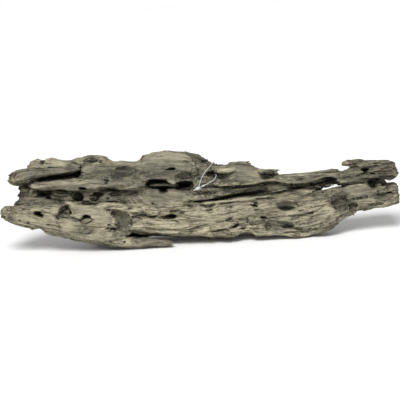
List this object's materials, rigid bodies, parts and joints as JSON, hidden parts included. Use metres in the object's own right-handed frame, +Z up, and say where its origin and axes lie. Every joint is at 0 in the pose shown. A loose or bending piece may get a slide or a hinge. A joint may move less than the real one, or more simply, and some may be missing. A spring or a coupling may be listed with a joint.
{
  "type": "piece of driftwood",
  "caption": "Weathered length of driftwood, hollowed and eaten through along its grain, with broken arms and a thin nylon loop threaded through its top rim.",
  "frame": {"origin": "under the middle of the wood, on the surface that it rests on", "axes": "+X along the grain to the end with the broken arms, +Y to the unseen back, +Z up"},
  "size_m": [0.6004, 0.109, 0.1382],
  "materials": {
    "weathered_wood": "dry, grey-brown, matte",
    "nylon": "satin, slightly translucent white"
  },
  "bodies": {
    "root": {"driftwood": "weathered_wood", "tag_loop": "nylon"}
  },
  "joints": []
}
